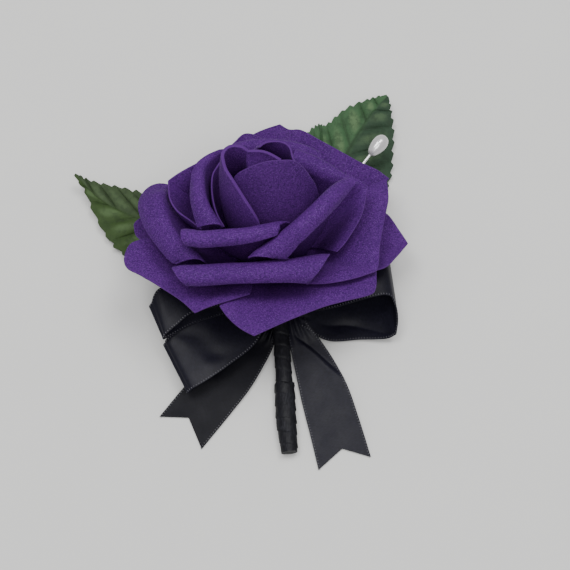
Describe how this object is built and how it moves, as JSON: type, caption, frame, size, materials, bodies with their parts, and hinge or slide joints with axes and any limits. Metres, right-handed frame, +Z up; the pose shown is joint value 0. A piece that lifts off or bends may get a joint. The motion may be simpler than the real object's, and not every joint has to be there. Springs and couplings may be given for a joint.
{
  "type": "boutonniere",
  "caption": "Boutonniere: layered foam rose with leaves, taped stem, satin ribbon bow and pearl-headed pin, lying flat.",
  "frame": {"origin": "middle of the footprint, on the surface that the boutonniere lies on", "axes": "+X to the right and +Y towards the top of the picture, along the stem towards the bloom; +Z up, off the surface"},
  "size_m": [0.0986, 0.116, 0.0508],
  "materials": {
    "foam": "soft matte craft foam with a fine sparkling speckle",
    "leaf": "printed matte woven leaf fabric with pressed veins",
    "wire": "green wrapped floral wire",
    "tape": "black crepe floral tape, waxy and creased",
    "ribbon": "black satin with a picot selvedge",
    "pearl": "pearlescent white",
    "pin_steel": "bright plain steel"
  },
  "bodies": {
    "root": {"bud_core": "foam", "bud_petal_front": "foam", "bud_petal_left": "foam", "bud_petal_back": "foam", "bud_petal_outer": "foam", "inner_petal_left": "foam", "inner_petal_front": "foam", "inner_petal_right": "foam", "inner_petal_back_right": "foam", "inner_petal_back": "foam", "middle_petal_left": "foam", "middle_petal_front": "foam", "middle_petal_right": "foam", "middle_petal_back_right": "foam", "middle_petal_back": "foam", "middle_petal_back_left": "foam", "outer_petal_left": "foam", "outer_petal_front_left": "foam", "outer_petal_front": "foam", "outer_petal_right": "foam", "outer_petal_back_right": "foam", "outer_petal_back": "foam", "outer_petal_back_left": "foam", "leaf_right": "leaf", "leaf_left": "leaf", "stem_wire": "wire", "stem_tape": "tape", "bow_tail_left": "ribbon", "bow_tail_right": "ribbon", "bow_loop_left_upper": "ribbon", "bow_loop_left_lower": "ribbon", "bow_loop_right": "ribbon", "bow_knot": "ribbon", "pin_head": "pearl", "pin_shaft": "pin_steel"}
  },
  "joints": []
}
